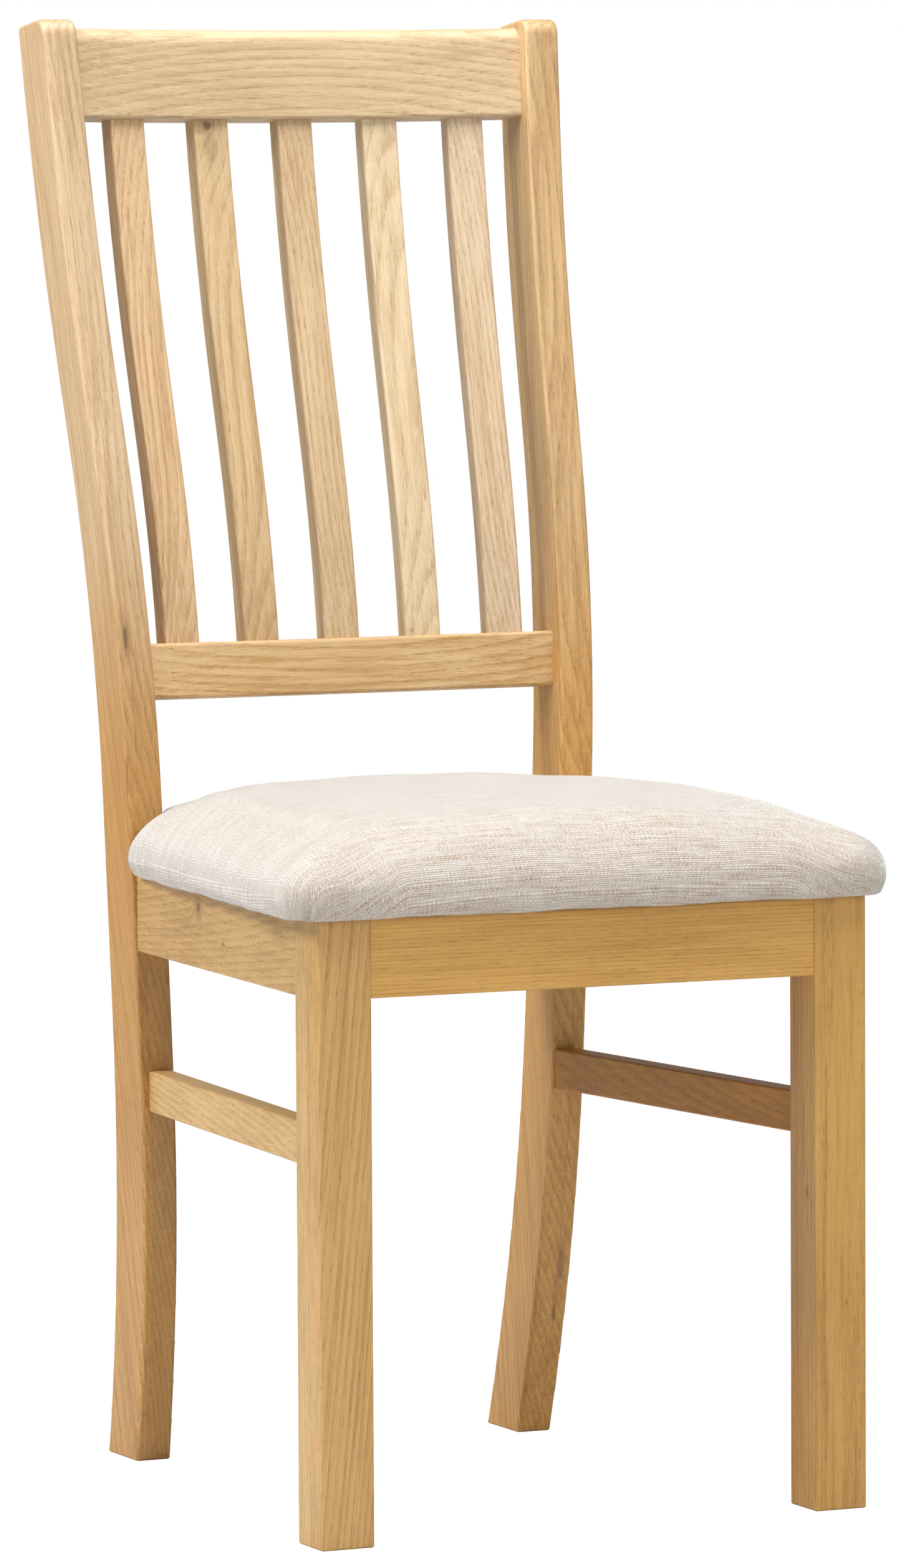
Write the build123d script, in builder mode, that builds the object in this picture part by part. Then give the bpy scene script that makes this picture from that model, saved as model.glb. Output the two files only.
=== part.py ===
from build123d import *
from math import atan2, cos, radians, sin, sqrt, tan
import os

os.makedirs("parts", exist_ok=True)

# Slat-back dining chair in solid oak with an upholstered seat pad, in millimetres.
# +Z is up, the sitter faces -Y, and left is the sitter's left, +X. The origin is on the floor, in the middle
# of the chair's width and depth.

# Seat frame
FRAME_TOP = 433.0  # top of the front legs and the aprons
APRON_HEIGHT = 55.0
APRON_THICKNESS = 22.0
APRON_INSET = 2.0  # how far the aprons stand back from the faces of the legs and posts
EASED = 1.5  # radius of the eased long edges

# Front legs
LEG = 40.0  # side of the square section
LEG_OUTER_X = 210.0
LEG_FRONT_Y = -260.0
LEG_EASED = 2.0
FOOT_CHAMFER = 1.0

# Back posts: one piece from the floor to the top, curved in side view and leaning apart as they rise
POST_WIDTH = 27.0
POST_INNER_X = 140.4  # inner face at the floor
POST_LEAN = 2.2  # degrees
POST_HEIGHT = 1052.0
POST_FRONT_Y = 128.0  # front and back of the straight stretch at the seat
POST_BACK_Y = 177.5
POST_EASED = 2.5
POST_TOP_RADIUS = 12.0  # rounding of the top's front edge
POST_BACK_TOP_RADIUS = 4.0
FOOT_SWEEP_FRONT = 39.0  # how far the foot sweeps back below the seat
FOOT_SWEEP_BACK = 44.0
FOOT_BEND_FRONT = 300.0  # height where the foot starts to sweep
FOOT_BEND_BACK = 330.0

# Side curve of the back, shared by the posts and the slats
BACK_BEND = 470.0  # height where the front faces start to bend back
BACK_BEND_REAR = 482.0  # the same on the posts' rear faces, a little higher, so the posts thin upwards
BACK_RADIUS = 1000.0
BACK_ANGLE = 15.1  # steepest rake, in degrees
BACK_STRAIGHT = 62.0
TOP_RADIUS = 1540.0  # the curve back towards upright below the top
TOP_ANGLE = 7.1
TOP_STRAIGHT = 90.0  # long enough to pass the top cut

# Back rails, bowed backwards between the posts
RAIL_THICKNESS = 25.0
RAIL_SETBACK = 11.0  # from the posts' front faces
RAIL_BOW = 10.5  # how far the middle stands behind the ends
RAIL_HALF_SPAN = 180.0
RAIL_EASED = 2.5
LOWER_RAIL_BOTTOM = 559.0
LOWER_RAIL_HEIGHT = 40.5
LOWER_RAIL_RAKE = 5.7
TOP_RAIL_BOTTOM = 979.0
TOP_RAIL_HEIGHT = 67.0
TOP_RAIL_RAKE = 8.3
TOP_RAIL_ROUND = 11.0

# Slats, between the rails, with a stub tenon at each end
SLAT_COUNT = 5
SLAT_PITCH = 64.3
SLAT_WIDTH = 28.0
SLAT_THICKNESS = 16.0
SLAT_SETBACK = 6.0  # behind the rails' front faces
SLAT_EASED = 2.0
SLAT_TENON = 10.0  # length
SLAT_SHOULDER = 3.0

# Side stretchers
STRETCHER_BOTTOM = 261.0
STRETCHER_HEIGHT = 29.5
STRETCHER_THICKNESS = 18.0
STRETCHER_INSET = 6.0
STRETCHER_TENON = 15.0  # length
STRETCHER_SHOULDER = 5.0

# Dowels
DOWEL_RADIUS = 4.0
DOWEL_LENGTH = 32.0
DOWEL_CHAMFER = 0.8
GLUE_GAP = 1.0  # at each end of a dowel
APRON_DOWEL_HEIGHTS = (FRAME_TOP - 40.0, FRAME_TOP - 15.0)

# Corner blocks and screws
BLOCK_WIDTH = 26.0
BLOCK_HEIGHT = 38.0
BLOCK_DROP = 1.0  # below the top of the aprons
FRONT_BLOCK_CLEAR = 30.0  # from the corner of the aprons to the block
REAR_BLOCK_CLEAR = 20.0
SCREW_RADIUS = 2.1
SCREW_HEAD_RADIUS = 4.2
SCREW_HEAD_HEIGHT = 2.6
SCREW_POINT = 4.0
SCREW_SLOT = (5.0, 1.0, 1.4)  # length, width and depth of each arm of the cross
BLOCK_SCREW_GRIP = 13.0  # length inside the block
BLOCK_SCREW_BITE = 15.0  # length inside the apron
SEAT_SCREW_BITE = 10.0  # length inside the seat board
SEAT_SCREW_RECESS = 6.0
COUNTERBORE_RADIUS = 5.5

# Seat pad
COVER = 1.2  # fabric
DUST_CLOTH = 0.4
BOARD = 12.0
WADDING = 7.0
PAD_BOTTOM = FRAME_TOP + 1.0  # room for the dust cloth and its staples
PAD_CROWN = 511.0  # highest point of the pad
PAD_CROWN_Y = -55.0
PAD_CROWN_RADIUS = 900.0
PAD_FRONT_Y = -275.0
PAD_FRONT_HALF = 228.0
PAD_EAR_HALF = 196.0  # half the width just in front of the posts
PAD_EAR_Y = 126.0
PAD_TONGUE_HALF = 155.0  # half the width between the posts
PAD_BACK_Y = 166.0
PAD_FRONT_CORNER = 28.0
PAD_EAR_CORNER = 16.0
PAD_TONGUE_CORNER = 12.0
PAD_RIM = 12.0  # rounding of the upper edge
PAD_UNDER_RIM = 5.0
COVER_BORDER = 56.0  # fabric turned under the board
DUST_CLOTH_INSET = 34.0

# Staples
STAPLE_WIDTH = 11.0
STAPLE_WIRE = 0.9
STAPLE_CROWN = 0.5
STAPLE_LENGTH = 8.0
STAPLE_SPACING = 42.0
COVER_STAPLE_INSET = 27.0
DUST_STAPLE_INSET = 46.0

# Alignments of primitives that stand on, or hang from, their place
STANDING = (Align.CENTER, Align.CENTER, Align.MIN)
HANGING = (Align.CENTER, Align.CENTER, Align.MAX)

# Places worked out from the sizes above
APRON_BOTTOM = FRAME_TOP - APRON_HEIGHT
LEG_BACK_Y = LEG_FRONT_Y + LEG
LEG_INNER_X = LEG_OUTER_X - LEG
FRONT_APRON_Y = LEG_FRONT_Y + APRON_INSET
REAR_APRON_Y = POST_FRONT_Y + 12.0
LEAN_OUT = Vector(cos(radians(POST_LEAN)), 0, -sin(radians(POST_LEAN)))  # outward normal of the left post
POST_FACE = Plane(origin=(POST_INNER_X, 0, 0), x_dir=(0, 1, 0), z_dir=LEAN_OUT)  # its inner face


def post_inner_x(height):
    """X of the left post's inner face at a height."""
    return POST_INNER_X + height * tan(radians(POST_LEAN))


def post_front_y(height):
    """Y of the posts' front faces at a height between the seat and the top."""
    angle = radians(BACK_ANGLE)
    bend_end = BACK_BEND + BACK_RADIUS * sin(angle)
    if height <= bend_end:
        rise = max(0.0, height - BACK_BEND)
        return POST_FRONT_Y + BACK_RADIUS - sqrt(BACK_RADIUS**2 - rise**2)
    straight_end = bend_end + BACK_STRAIGHT * cos(angle)
    y = POST_FRONT_Y + BACK_RADIUS * (1 - cos(angle))
    y += (min(height, straight_end) - bend_end) * tan(angle)
    if height > straight_end:
        centre = straight_end + TOP_RADIUS * sin(angle)
        y += sqrt(TOP_RADIUS**2 - (height - centre) ** 2) - TOP_RADIUS * cos(angle)
    return y


def rail_bow(x):
    """How far a rail's front face stands behind its ends at x."""
    return RAIL_BOW * (1 - (x / RAIL_HALF_SPAN) ** 2)


def back_curve(y, bend):
    """The side curve of the back, drawn upwards from the start of its bend. Returns its last edge."""
    lower = JernArc(start=(y, bend), tangent=(0, 1), radius=BACK_RADIUS, arc_size=-BACK_ANGLE)
    straight = Line(lower @ 1, (lower @ 1) + (lower % 1) * BACK_STRAIGHT)
    upper = JernArc(start=straight @ 1, tangent=straight % 1, radius=TOP_RADIUS, arc_size=TOP_ANGLE)
    return Line(upper @ 1, (upper @ 1) + (upper % 1) * TOP_STRAIGHT)


def rail_plane(bottom, rake):
    """Plane of a back rail's underside: X along the rail, Y backwards, Z up the raked back."""
    up = Vector(0, sin(radians(rake)), cos(radians(rake)))
    return Plane(origin=(0, post_front_y(bottom) + RAIL_SETBACK, bottom), x_dir=(1, 0, 0), z_dir=up)


def both_sides(sites):
    """The planes on the left side and their mirror images on the right."""
    mirrored = []
    for site in sites:
        o, z = site.origin, site.z_dir
        mirrored.append(Plane(origin=(-o.X, o.Y, o.Z), z_dir=(-z.X, z.Y, z.Z)))
    return list(sites) + mirrored


LOWER_RAIL = rail_plane(LOWER_RAIL_BOTTOM, LOWER_RAIL_RAKE)
TOP_RAIL = rail_plane(TOP_RAIL_BOTTOM, TOP_RAIL_RAKE)
TOP_CUT = Plane(
    origin=(0, post_front_y(POST_HEIGHT), POST_HEIGHT),
    z_dir=(0, sin(radians(BACK_ANGLE - TOP_ANGLE)), cos(radians(BACK_ANGLE - TOP_ANGLE))),
)

# The outer faces of the side aprons run from the front legs to the posts, closing in towards the back
SIDE_FRONT_X = LEG_OUTER_X - APRON_INSET
SIDE_REAR_X = post_inner_x(APRON_BOTTOM) + POST_WIDTH - APRON_INSET
SIDE_ANGLE = atan2(SIDE_FRONT_X - SIDE_REAR_X, POST_FRONT_Y - LEG_BACK_Y)
SIDE_RUN = Vector(-sin(SIDE_ANGLE), cos(SIDE_ANGLE), 0)  # from front to back
SIDE_OUT = Vector(cos(SIDE_ANGLE), sin(SIDE_ANGLE), 0)


def side_inner_x(y):
    """X of the left side apron's inner face."""
    return SIDE_FRONT_X - (y - LEG_BACK_Y) * tan(SIDE_ANGLE) - APRON_THICKNESS / cos(SIDE_ANGLE)


# ---- Dowels, two at every butt joint ----


def dowels(sites, extra=0.0):
    """Dowels centred on the joint faces. extra lengthens them, to cut their bores."""
    with BuildPart() as group:
        with Locations(*sites):
            Cylinder(DOWEL_RADIUS, DOWEL_LENGTH + extra)
        if not extra:
            chamfer(group.edges().filter_by(GeomType.CIRCLE), DOWEL_CHAMFER)
    return group


def rail_sites(plane, heights):
    """Where a back rail meets the left post, at heights up the rail."""
    middle = RAIL_THICKNESS / 2 + rail_bow(post_inner_x(plane.origin.Z))
    points = [plane.from_local_coords((0, middle, height)) for height in heights]
    return [Plane(origin=(post_inner_x(p.Z), p.Y, p.Z), z_dir=LEAN_OUT) for p in points]


front_sites = []
rear_sites = []
side_sites = []
for z in APRON_DOWEL_HEIGHTS:
    front_middle = FRONT_APRON_Y + APRON_THICKNESS / 2
    rear_middle = REAR_APRON_Y + APRON_THICKNESS / 2
    front_sites.append(Plane(origin=(LEG_INNER_X, front_middle, z), z_dir=(1, 0, 0)))
    rear_sites.append(Plane(origin=(post_inner_x(z), rear_middle, z), z_dir=LEAN_OUT))
    for x, y in ((SIDE_FRONT_X, LEG_BACK_Y), (SIDE_REAR_X, POST_FRONT_Y)):
        middle = Vector(x, y, z) - SIDE_OUT * (APRON_THICKNESS / 2)
        side_sites.append(Plane(origin=middle, z_dir=SIDE_RUN))
dowel_sites = {
    "front_apron_dowels": both_sides(front_sites),
    "rear_apron_dowels": both_sides(rear_sites),
    "side_apron_dowels": both_sides(side_sites),
    "lower_rail_dowels": both_sides(rail_sites(LOWER_RAIL, (10.5, 30.0))),
    "top_rail_dowels": both_sides(rail_sites(TOP_RAIL, (16.0, 46.0))),
}
dowel_groups = {name: dowels(sites) for name, sites in dowel_sites.items()}
dowel_bores = {name: dowels(sites, 2 * GLUE_GAP) for name, sites in dowel_sites.items()}


# ---- Side stretchers, tenoned into the legs and posts ----

STRETCHER_FRONT_X = LEG_OUTER_X - STRETCHER_INSET
STRETCHER_REAR_X = post_inner_x(STRETCHER_BOTTOM) + POST_WIDTH - STRETCHER_INSET
STRETCHER_SLOPE = (STRETCHER_FRONT_X - STRETCHER_REAR_X) / (POST_FRONT_Y - LEG_BACK_Y)


def stretcher_bar(front_y, rear_y, shoulder):
    """A straight bar along the left stretcher, thinner and lower than it by the shoulder all round."""
    front_x = STRETCHER_FRONT_X - (front_y - LEG_BACK_Y) * STRETCHER_SLOPE
    rear_x = STRETCHER_FRONT_X - (rear_y - LEG_BACK_Y) * STRETCHER_SLOPE
    outer, inner = shoulder, STRETCHER_THICKNESS - shoulder
    with BuildPart() as bar:
        with BuildSketch(Plane.XY.offset(STRETCHER_BOTTOM + shoulder)):
            with BuildLine():
                Polyline(
                    (front_x - outer, front_y),
                    (rear_x - outer, rear_y),
                    (rear_x - inner, rear_y),
                    (front_x - inner, front_y),
                    close=True,
                )
            make_face()
        extrude(amount=STRETCHER_HEIGHT - 2 * shoulder)
    return bar


stretcher_core = stretcher_bar(
    LEG_BACK_Y - STRETCHER_TENON, POST_FRONT_Y + STRETCHER_TENON, STRETCHER_SHOULDER
)


# ---- Back posts ----

with BuildPart() as back_post_left:
    with BuildSketch(POST_FACE):
        with BuildLine():
            front_foot = TangentArc(
                (POST_FRONT_Y, FOOT_BEND_FRONT), (POST_FRONT_Y + FOOT_SWEEP_FRONT, 0), tangent=(0, -1)
            )
            Line((POST_FRONT_Y, FOOT_BEND_FRONT), (POST_FRONT_Y, BACK_BEND))
            front_top = back_curve(POST_FRONT_Y, BACK_BEND)
            back_foot = TangentArc(
                (POST_BACK_Y, FOOT_BEND_BACK), (POST_BACK_Y + FOOT_SWEEP_BACK, 0), tangent=(0, -1)
            )
            Line((POST_BACK_Y, FOOT_BEND_BACK), (POST_BACK_Y, BACK_BEND_REAR))
            back_top = back_curve(POST_BACK_Y, BACK_BEND_REAR)
            Line(front_foot @ 1, back_foot @ 1)
            Line(front_top @ 1, back_top @ 1)
        make_face()
    extrude(amount=POST_WIDTH)
    split(bisect_by=Plane.XY, keep=Keep.TOP)
    split(bisect_by=TOP_CUT, keep=Keep.BOTTOM)
    fillet(back_post_left.faces().sort_by(Axis.Z)[-1].edges().sort_by(Axis.Y)[-1], POST_BACK_TOP_RADIUS)
    fillet(back_post_left.faces().sort_by(Axis.Z)[-1].edges().sort_by(Axis.Y)[0], POST_TOP_RADIUS)
    foot = back_post_left.faces().sort_by(Axis.Z)[0]
    sides = back_post_left.faces().filter_by(Axis((0, 0, 0), LEAN_OUT))
    fillet([edge for edge in sides.edges() if edge not in foot.edges()], POST_EASED)
    chamfer(back_post_left.faces().sort_by(Axis.Z)[0].edges(), FOOT_CHAMFER)
    for name in ("rear_apron_dowels", "side_apron_dowels", "lower_rail_dowels", "top_rail_dowels"):
        add(dowel_bores[name].part, mode=Mode.SUBTRACT)
    add(stretcher_core.part, mode=Mode.SUBTRACT)

with BuildPart() as back_post_right:
    mirror(back_post_left.part, about=Plane.YZ)


# ---- Front legs ----

with BuildPart() as front_leg_left:
    with Locations((LEG_OUTER_X, LEG_FRONT_Y, 0)):
        Box(LEG, LEG, FRAME_TOP, align=(Align.MAX, Align.MIN, Align.MIN))
    fillet(front_leg_left.edges().filter_by(Axis.Z), LEG_EASED)
    chamfer(front_leg_left.faces().sort_by(Axis.Z)[0].edges(), FOOT_CHAMFER)
    for name in ("front_apron_dowels", "side_apron_dowels"):
        add(dowel_bores[name].part, mode=Mode.SUBTRACT)
    add(stretcher_core.part, mode=Mode.SUBTRACT)

with BuildPart() as front_leg_right:
    mirror(front_leg_left.part, about=Plane.YZ)


with BuildPart() as side_stretcher_left:
    add(stretcher_bar(LEG_BACK_Y, POST_FRONT_Y + STRETCHER_TENON, 0).part)
    long_edges = [edge for edge in side_stretcher_left.edges() if edge.length > 2 * LEG]
    fillet(long_edges, EASED)
    add(back_post_left.part, mode=Mode.SUBTRACT)
    add(stretcher_core.part)

with BuildPart() as side_stretcher_right:
    mirror(side_stretcher_left.part, about=Plane.YZ)


# ---- Corner blocks, with the sites of their screws ----

BLOCK_TOP = FRAME_TOP - BLOCK_DROP
SCREW_LINE = BLOCK_TOP - BLOCK_HEIGHT / 2


def block_corner(forward):
    """The inner corner of the left aprons: at the front if forward is -1, at the back if it is 1."""
    y = REAR_APRON_Y if forward > 0 else FRONT_APRON_Y + APRON_THICKNESS
    return Vector(side_inner_x(y), y)


def corner_block(forward, clear):
    """A block across a corner of the left aprons, its outer face clear of the leg or post."""
    corner = block_corner(forward)
    inward = Vector(-1, -forward).normalized()
    centre = corner + inward * (clear + BLOCK_WIDTH / 2)
    far = corner.Y - forward * LEG_OUTER_X
    inside = [corner, (0, corner.Y), (0, far), (side_inner_x(far), far)]
    with BuildPart() as block:
        with BuildSketch(Plane.XY.offset(BLOCK_TOP - BLOCK_HEIGHT)):
            with Locations(Location((centre.X, centre.Y), -45 * forward)):
                Rectangle(2 * LEG_OUTER_X, BLOCK_WIDTH)
            Polygon(*inside, align=None, mode=Mode.INTERSECT)
        extrude(amount=BLOCK_HEIGHT)
    return block


def apron_screw_sites(forward, clear):
    """Where a block's two screws cross into the aprons, pointing outwards."""
    corner = block_corner(forward)
    reach = (clear + BLOCK_WIDTH / 2) * sqrt(2)
    side_y = corner.Y - forward * reach
    return [
        Plane(origin=(corner.X - reach, corner.Y, SCREW_LINE), z_dir=(0, forward, 0)),
        Plane(origin=(side_inner_x(side_y), side_y, SCREW_LINE), z_dir=SIDE_OUT),
    ]


def seat_screw_site(forward, clear):
    """Where a block's seat screw crosses from the block to the underside of the seat board."""
    centre = block_corner(forward) + Vector(-1, -forward).normalized() * (clear + BLOCK_WIDTH / 2)
    return Plane(origin=(centre.X, centre.Y, PAD_BOTTOM + COVER), z_dir=(0, 0, 1))


def screws(sites, grip, bite):
    """Countersunk wood screws. grip is the length from under the head to the joint, bite goes beyond it."""
    slot_length, slot_width, slot_depth = SCREW_SLOT
    head_top = -grip - SCREW_HEAD_HEIGHT
    shank = grip + bite - SCREW_POINT
    with BuildPart() as group:
        with Locations(*sites):
            with Locations((0, 0, head_top)):
                Cone(SCREW_HEAD_RADIUS, SCREW_RADIUS, SCREW_HEAD_HEIGHT, align=STANDING)
                Box(slot_length, slot_width, slot_depth, align=STANDING, mode=Mode.SUBTRACT)
                Box(slot_width, slot_length, slot_depth, align=STANDING, mode=Mode.SUBTRACT)
            with Locations((0, 0, -grip)):
                Cylinder(SCREW_RADIUS, shank, align=STANDING)
            with Locations((0, 0, bite - SCREW_POINT)):
                Cone(SCREW_RADIUS, 0, SCREW_POINT, align=STANDING)
    return group


def counterbores(sites, grip):
    """Clearance behind the screw heads, to drive them through."""
    with BuildPart() as holes:
        with Locations(*sites):
            with Locations((0, 0, -grip - SCREW_HEAD_HEIGHT)):
                Cylinder(COUNTERBORE_RADIUS, BLOCK_HEIGHT, align=HANGING)
            with Locations((0, 0, -grip)):
                Cylinder(SCREW_HEAD_RADIUS, SCREW_HEAD_HEIGHT, align=HANGING)
    return holes


corners = {"front": (-1, FRONT_BLOCK_CLEAR), "rear": (1, REAR_BLOCK_CLEAR)}
block_screw_sites = [site for corner in corners.values() for site in apron_screw_sites(*corner)]
seat_screw_sites = [seat_screw_site(*corner) for corner in corners.values()]
SEAT_SCREW_GRIP = PAD_BOTTOM + COVER - (BLOCK_TOP - BLOCK_HEIGHT) - SEAT_SCREW_RECESS
corner_block_screws = screws(both_sides(block_screw_sites), BLOCK_SCREW_GRIP, BLOCK_SCREW_BITE)
seat_fixing_screws = screws(both_sides(seat_screw_sites), SEAT_SCREW_GRIP, SEAT_SCREW_BITE)
corner_blocks = {}
for place, (forward, clear) in corners.items():
    with BuildPart() as block:
        add(corner_block(forward, clear).part)
        add(counterbores(apron_screw_sites(forward, clear), BLOCK_SCREW_GRIP).part, mode=Mode.SUBTRACT)
        add(counterbores([seat_screw_site(forward, clear)], SEAT_SCREW_GRIP).part, mode=Mode.SUBTRACT)
        add(corner_block_screws.part, mode=Mode.SUBTRACT)
        add(seat_fixing_screws.part, mode=Mode.SUBTRACT)
    with BuildPart() as mirrored_block:
        mirror(block.part, about=Plane.YZ)
    corner_blocks[f"corner_block_{place}_left"] = block
    corner_blocks[f"corner_block_{place}_right"] = mirrored_block


# ---- Aprons ----

with BuildPart() as front_apron:
    with Locations((0, FRONT_APRON_Y, APRON_BOTTOM)):
        Box(2 * LEG_INNER_X, APRON_THICKNESS, APRON_HEIGHT, align=(Align.CENTER, Align.MIN, Align.MIN))
    fillet(front_apron.edges().filter_by(Axis.X), EASED)
    add(dowel_bores["front_apron_dowels"].part, mode=Mode.SUBTRACT)
    add(corner_block_screws.part, mode=Mode.SUBTRACT)

with BuildPart() as rear_apron:
    with Locations((0, REAR_APRON_Y, APRON_BOTTOM)):
        Box(2 * LEG_OUTER_X, APRON_THICKNESS, APRON_HEIGHT, align=(Align.CENTER, Align.MIN, Align.MIN))
    fillet(rear_apron.edges().filter_by(Axis.X), EASED)
    for face in both_sides([POST_FACE]):
        split(bisect_by=face, keep=Keep.BOTTOM)
    add(dowel_bores["rear_apron_dowels"].part, mode=Mode.SUBTRACT)
    add(corner_block_screws.part, mode=Mode.SUBTRACT)

with BuildPart() as side_apron_left:
    with BuildSketch(Plane.XY.offset(APRON_BOTTOM)):
        with BuildLine():
            front_outer = Vector(SIDE_FRONT_X, LEG_BACK_Y)
            rear_outer = Vector(SIDE_REAR_X, POST_FRONT_Y)
            across = Vector(APRON_THICKNESS / cos(SIDE_ANGLE), 0)
            Polyline(front_outer, rear_outer, rear_outer - across, front_outer - across, close=True)
        make_face()
    extrude(amount=APRON_HEIGHT)
    fillet([edge for edge in side_apron_left.edges() if edge.length > 2 * LEG], EASED)
    add(dowel_bores["side_apron_dowels"].part, mode=Mode.SUBTRACT)
    add(corner_block_screws.part, mode=Mode.SUBTRACT)

with BuildPart() as side_apron_right:
    mirror(side_apron_left.part, about=Plane.YZ)


# ---- Slats ----


def slat_blank(number, width, thickness, eased=0.0):
    """A strip that follows the side curve of the back, turned with the bow of the rails."""
    x = number * SLAT_PITCH
    turn = atan2(-2 * RAIL_BOW * x, RAIL_HALF_SPAN**2)
    y = POST_FRONT_Y + RAIL_SETBACK + rail_bow(x) + SLAT_SETBACK
    plane = Plane(origin=(x, y, 0), x_dir=(-sin(turn), cos(turn), 0), z_dir=(cos(turn), sin(turn), 0))
    shoulder = (SLAT_THICKNESS - thickness) / 2
    with BuildPart() as blank:
        with BuildSketch(plane):
            with BuildLine():
                front = back_curve(shoulder, BACK_BEND)
                back = back_curve(shoulder + thickness, BACK_BEND)
                Line((shoulder, BACK_BEND), (shoulder + thickness, BACK_BEND))
                Line(front @ 1, back @ 1)
            make_face()
        extrude(amount=width / 2, both=True)
        if eased:
            sides = blank.faces().sort_by(Axis.X)
            fillet(sides[0].edges() + sides[-1].edges(), eased)
    return blank


def between(blank, overlap):
    """The stretch of a blank between the back rails, running into each by the overlap."""
    with BuildPart() as piece:
        add(blank.part)
        split(bisect_by=LOWER_RAIL.offset(LOWER_RAIL_HEIGHT - overlap), keep=Keep.TOP)
        split(bisect_by=TOP_RAIL.offset(overlap), keep=Keep.BOTTOM)
    return piece


slat_numbers = range(-(SLAT_COUNT // 2), SLAT_COUNT // 2 + 1)
slat_cores = []
slats = []
for number in slat_numbers:
    core_width = SLAT_WIDTH - 2 * SLAT_SHOULDER
    core_thickness = SLAT_THICKNESS - 2 * SLAT_SHOULDER
    slat_cores.append(between(slat_blank(number, core_width, core_thickness), SLAT_TENON))
    with BuildPart() as slat:
        add(between(slat_blank(number, SLAT_WIDTH, SLAT_THICKNESS, SLAT_EASED), 0).part)
        add(slat_cores[-1].part)
    slats.append(slat)


# ---- Back rails ----


def back_rail(plane, height, round_top):
    """A rail bowed backwards, cut to the leaning posts, before its joints are made."""
    with BuildPart() as rail:
        with BuildSketch(plane):
            with BuildLine():
                half = RAIL_HALF_SPAN * 1.1
                front = ThreePointArc((-half, rail_bow(half)), (0, RAIL_BOW), (half, rail_bow(half)))
                back = ThreePointArc(
                    (-half, rail_bow(half) + RAIL_THICKNESS),
                    (0, RAIL_BOW + RAIL_THICKNESS),
                    (half, rail_bow(half) + RAIL_THICKNESS),
                )
                Line(front @ 0, back @ 0)
                Line(front @ 1, back @ 1)
            make_face()
        extrude(amount=height)
        fillet(rail.faces().sort_by(Axis.Z)[0].edges().filter_by(GeomType.CIRCLE), RAIL_EASED)
        top_face = rail.faces().sort_by(Axis.Z)[-1]
        fillet(top_face.edges().filter_by(GeomType.CIRCLE).sort_by(Axis.Y)[-1], RAIL_EASED)
        top_face = rail.faces().sort_by(Axis.Z)[-1]
        fillet(top_face.edges().filter_by(GeomType.CIRCLE).sort_by(Axis.Y)[0], round_top)
        for face in both_sides([POST_FACE]):
            split(bisect_by=face, keep=Keep.BOTTOM)
    return rail


with BuildPart() as lower_back_rail:
    add(back_rail(LOWER_RAIL, LOWER_RAIL_HEIGHT, RAIL_EASED).part)
    add(dowel_bores["lower_rail_dowels"].part, mode=Mode.SUBTRACT)
    for core in slat_cores:
        add(core.part, mode=Mode.SUBTRACT)

with BuildPart() as top_rail:
    add(back_rail(TOP_RAIL, TOP_RAIL_HEIGHT, TOP_RAIL_ROUND).part)
    add(dowel_bores["top_rail_dowels"].part, mode=Mode.SUBTRACT)
    for core in slat_cores:
        add(core.part, mode=Mode.SUBTRACT)


# ---- Seat pad ----


def pad_outline(inset):
    """The pad's plan: wide at the front, with ears before the posts and a tongue between them."""
    with BuildSketch() as outline:
        with BuildLine():
            half = [
                (PAD_FRONT_HALF, PAD_FRONT_Y),
                (PAD_EAR_HALF, PAD_EAR_Y),
                (PAD_TONGUE_HALF, PAD_EAR_Y),
                (PAD_TONGUE_HALF, PAD_BACK_Y),
            ]
            Polyline(*half, *[(-x, y) for x, y in half[::-1]], close=True)
        make_face()
        fillet(outline.vertices().group_by(Axis.Y)[0], PAD_FRONT_CORNER)
        ears = [v for v in outline.vertices() if abs(v.Y - PAD_EAR_Y) < 1 and abs(v.X) > PAD_TONGUE_HALF + 1]
        fillet(ears, PAD_EAR_CORNER)
        fillet(outline.vertices().group_by(Axis.Y)[-1], PAD_TONGUE_CORNER)
        if inset:
            offset(amount=-inset, kind=Kind.INTERSECTION)
    return outline


def pad_block(inset, bottom, under_rim):
    """A crowned pad with rounded rims, smaller than the whole pad by the inset at the sides and the top."""
    with BuildPart() as block:
        with BuildSketch(Plane.XY.offset(bottom)):
            add(pad_outline(inset).sketch)
        extrude(amount=PAD_CROWN - bottom)
        with Locations((0, PAD_CROWN_Y, PAD_CROWN - PAD_CROWN_RADIUS)):
            Sphere(PAD_CROWN_RADIUS - inset, mode=Mode.INTERSECT)
        crown = block.faces().filter_by(GeomType.SPHERE)[0]
        fillet(crown.edges(), PAD_RIM - inset)
        if under_rim:
            fillet(block.faces().sort_by(Axis.Z)[0].edges(), under_rim)
    return block


def pad_layer(inset, bottom, thickness):
    """A flat sheet in the pad's plan, smaller by the inset."""
    with BuildPart() as layer:
        with BuildSketch(Plane.XY.offset(bottom)):
            add(pad_outline(inset).sketch)
        extrude(amount=thickness)
    return layer


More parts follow.
